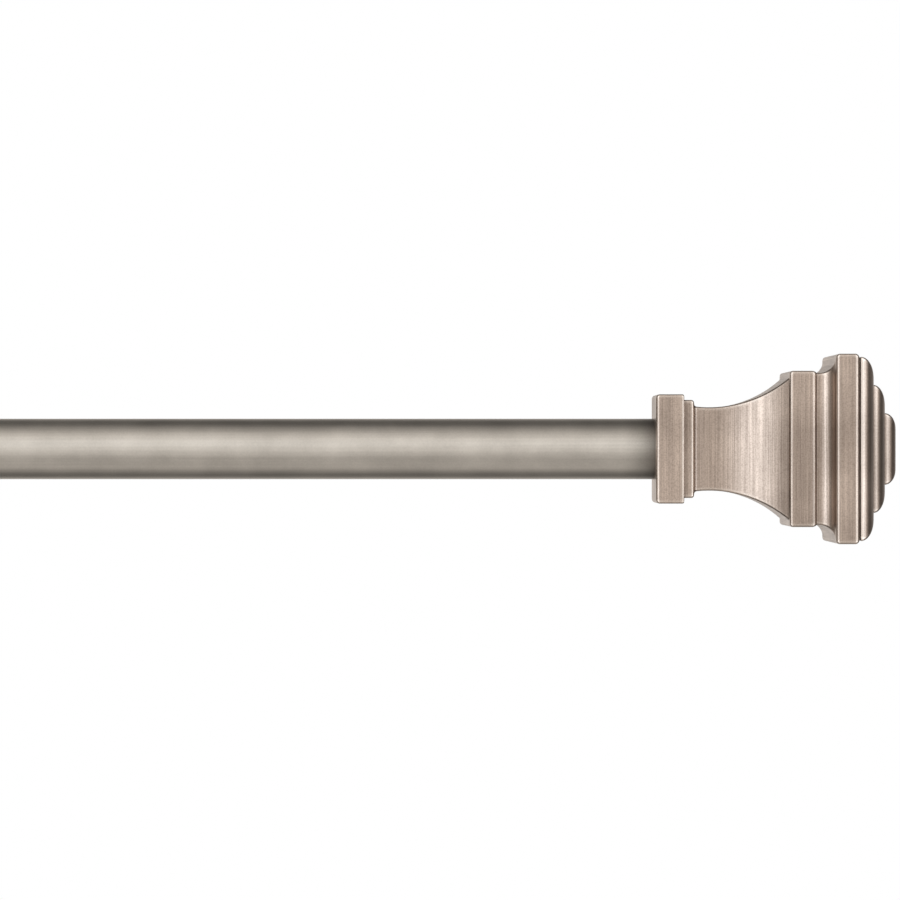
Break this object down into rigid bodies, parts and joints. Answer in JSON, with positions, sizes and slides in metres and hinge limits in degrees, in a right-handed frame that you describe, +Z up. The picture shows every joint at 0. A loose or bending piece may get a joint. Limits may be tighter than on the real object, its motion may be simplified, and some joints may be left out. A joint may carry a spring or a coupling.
{
  "type": "curtain rod with brackets",
  "caption": "Telescoping round curtain rod with stepped square finials, carried in the eyes of adjustable wall brackets with moulded square escutcheons.",
  "frame": {"origin": "centre of the right bracket's wall plate, on the wall plane, midway between its two wall anchors", "axes": "+X along the rod towards the right finial, +Y into the wall, +Z up"},
  "size_m": [0.8372, 0.1445, 0.062],
  "materials": {
    "pewter_tube": "satin pewter plating on drawn steel tube",
    "pewter_resin": "brushed antique pewter finish on cast resin",
    "pewter_casting": "brushed antique pewter plating on die-cast zinc",
    "zinc_steel": "bright zinc plating on stamped steel",
    "zinc_screw": "bright zinc plating on cold-headed steel",
    "black_oxide": "black oxide on alloy steel",
    "nylon_natural": "moulded natural nylon",
    "acetal_black": "moulded black acetal"
  },
  "bodies": {
    "outer_rod": {"outer_tube": "pewter_tube", "tube_mouth_bush": "acetal_black", "right_finial_plug": "acetal_black"},
    "inner_rod": {"inner_tube": "pewter_tube", "inner_tube_guide": "acetal_black", "left_finial_plug": "acetal_black", "left_adapter_sleeve": "pewter_casting"},
    "right_wall_mount": {"right_wall_plate": "zinc_steel", "right_wall_screws": "zinc_screw", "right_wall_anchors": "nylon_natural"},
    "right_arm_assembly": {"right_escutcheon": "pewter_casting", "right_arm": "pewter_casting", "right_arm_screw": "zinc_screw"},
    "right_eye_assembly": {"right_projection_bar": "pewter_casting", "right_rod_eye": "pewter_casting"},
    "right_grub_screw": {"right_escutcheon_grub_screw": "black_oxide"},
    "right_rod_lock_screw": {"right_rod_lock_shank": "zinc_screw"},
    "right_rod_lock_grip": {"right_rod_lock_knob": "pewter_casting"},
    "right_bar_lock_screw": {"right_bar_lock_shank": "zinc_screw"},
    "right_bar_lock_grip": {"right_bar_lock_knob": "pewter_casting"},
    "right_finial_screw": {"right_finial_stud": "zinc_screw"},
    "right_finial_head": {"right_finial": "pewter_resin"},
    "left_wall_mount": {"left_wall_plate": "zinc_steel", "left_wall_screws": "zinc_screw", "left_wall_anchors": "nylon_natural"},
    "left_arm_assembly": {"left_escutcheon": "pewter_casting", "left_arm": "pewter_casting", "left_arm_screw": "zinc_screw"},
    "left_eye_assembly": {"left_projection_bar": "pewter_casting", "left_rod_eye": "pewter_casting"},
    "left_grub_screw": {"left_escutcheon_grub_screw": "black_oxide"},
    "left_rod_lock_screw": {"left_rod_lock_shank": "zinc_screw"},
    "left_rod_lock_grip": {"left_rod_lock_knob": "pewter_casting"},
    "left_bar_lock_screw": {"left_bar_lock_shank": "zinc_screw"},
    "left_bar_lock_grip": {"left_bar_lock_knob": "pewter_casting"},
    "left_finial_screw": {"left_finial_stud": "zinc_screw"},
    "left_finial_head": {"left_finial": "pewter_resin"}
  },
  "joints": [
    {"name": "right_lift_off", "type": "slide", "parent": "right_wall_mount", "child": "right_arm_assembly", "axis": [0, 0, 1], "range_m": [0, 0.06]},
    {"name": "right_projection", "type": "slide", "parent": "right_arm_assembly", "child": "right_eye_assembly", "axis": [0, -1, 0], "range_m": [0, 0.025]},
    {"name": "rod_slide", "type": "slide", "parent": "right_eye_assembly", "child": "outer_rod", "axis": [1, 0, 0], "range_m": [-0.185, 0.1]},
    {"name": "telescope", "type": "slide", "parent": "outer_rod", "child": "inner_rod", "axis": [-1, 0, 0], "range_m": [0, 0.508]},
    {"name": "left_bracket_slide", "type": "slide", "parent": "inner_rod", "child": "left_eye_assembly", "axis": [1, 0, 0], "range_m": [-0.185, 0.12]},
    {"name": "left_projection", "type": "slide", "parent": "left_eye_assembly", "child": "left_arm_assembly", "axis": [0, 1, 0], "range_m": [0, 0.025]},
    {"name": "left_lift_off", "type": "slide", "parent": "left_arm_assembly", "child": "left_wall_mount", "axis": [0, 0, -1], "range_m": [0, 0.06]},
    {"name": "right_grub_screw_travel", "type": "slide", "parent": "right_arm_assembly", "child": "right_grub_screw", "axis": [1, 0, 0], "range_m": [0, 0.003]},
    {"name": "right_rod_lock_travel", "type": "slide", "parent": "right_eye_assembly", "child": "right_rod_lock_screw", "axis": [0, 0, -1], "range_m": [0, 0.0028]},
    {"name": "right_rod_lock_turn", "type": "hinge", "parent": "right_rod_lock_screw", "child": "right_rod_lock_grip", "pos_m": [0, -0.09, -0.016], "axis": [0, 0, -1], "range_deg": [0, 1440]},
    {"name": "right_bar_lock_travel", "type": "slide", "parent": "right_arm_assembly", "child": "right_bar_lock_screw", "axis": [0, 0, -1], "range_m": [0, 0.0028]},
    {"name": "right_bar_lock_turn", "type": "hinge", "parent": "right_bar_lock_screw", "child": "right_bar_lock_grip", "pos_m": [0, -0.07, -0.016], "axis": [0, 0, -1], "range_deg": [0, 1440]},
    {"name": "right_finial_travel", "type": "slide", "parent": "outer_rod", "child": "right_finial_screw", "axis": [1, 0, 0], "range_m": [0, 0.014]},
    {"name": "right_finial_turn", "type": "hinge", "parent": "right_finial_screw", "child": "right_finial_head", "pos_m": [0.205, -0.09, 0], "axis": [1, 0, 0], "range_deg": [0, 5040]},
    {"name": "left_grub_screw_travel", "type": "slide", "parent": "left_arm_assembly", "child": "left_grub_screw", "axis": [1, 0, 0], "range_m": [0, 0.003]},
    {"name": "left_rod_lock_travel", "type": "slide", "parent": "left_eye_assembly", "child": "left_rod_lock_screw", "axis": [0, 0, -1], "range_m": [0, 0.0028]},
    {"name": "left_rod_lock_turn", "type": "hinge", "parent": "left_rod_lock_screw", "child": "left_rod_lock_grip", "pos_m": [-0.301, -0.09, -0.016], "axis": [0, 0, -1], "range_deg": [0, 1440]},
    {"name": "left_bar_lock_travel", "type": "slide", "parent": "left_arm_assembly", "child": "left_bar_lock_screw", "axis": [0, 0, -1], "range_m": [0, 0.0028]},
    {"name": "left_bar_lock_turn", "type": "hinge", "parent": "left_bar_lock_screw", "child": "left_bar_lock_grip", "pos_m": [-0.301, -0.07, -0.016], "axis": [0, 0, -1], "range_deg": [0, 1440]},
    {"name": "left_finial_travel", "type": "slide", "parent": "inner_rod", "child": "left_finial_screw", "axis": [-1, 0, 0], "range_m": [0, 0.014]},
    {"name": "left_finial_turn", "type": "hinge", "parent": "left_finial_screw", "child": "left_finial_head", "pos_m": [-0.5062, -0.09, 0], "axis": [-1, 0, 0], "range_deg": [0, 5040]}
  ],
  "couplings": [
    {"joint": "left_projection", "follows": "right_projection", "ratio": 1},
    {"joint": "left_lift_off", "follows": "right_lift_off", "ratio": 1},
    {"joint": "right_rod_lock_turn", "follows": "right_rod_lock_travel", "rad_per_m": 8976},
    {"joint": "right_bar_lock_turn", "follows": "right_bar_lock_travel", "rad_per_m": 8976},
    {"joint": "right_finial_turn", "follows": "right_finial_travel", "rad_per_m": 6283.2},
    {"joint": "left_rod_lock_turn", "follows": "left_rod_lock_travel", "rad_per_m": 8976},
    {"joint": "left_bar_lock_turn", "follows": "left_bar_lock_travel", "rad_per_m": 8976},
    {"joint": "left_finial_turn", "follows": "left_finial_travel", "rad_per_m": 6283.2}
  ]
}
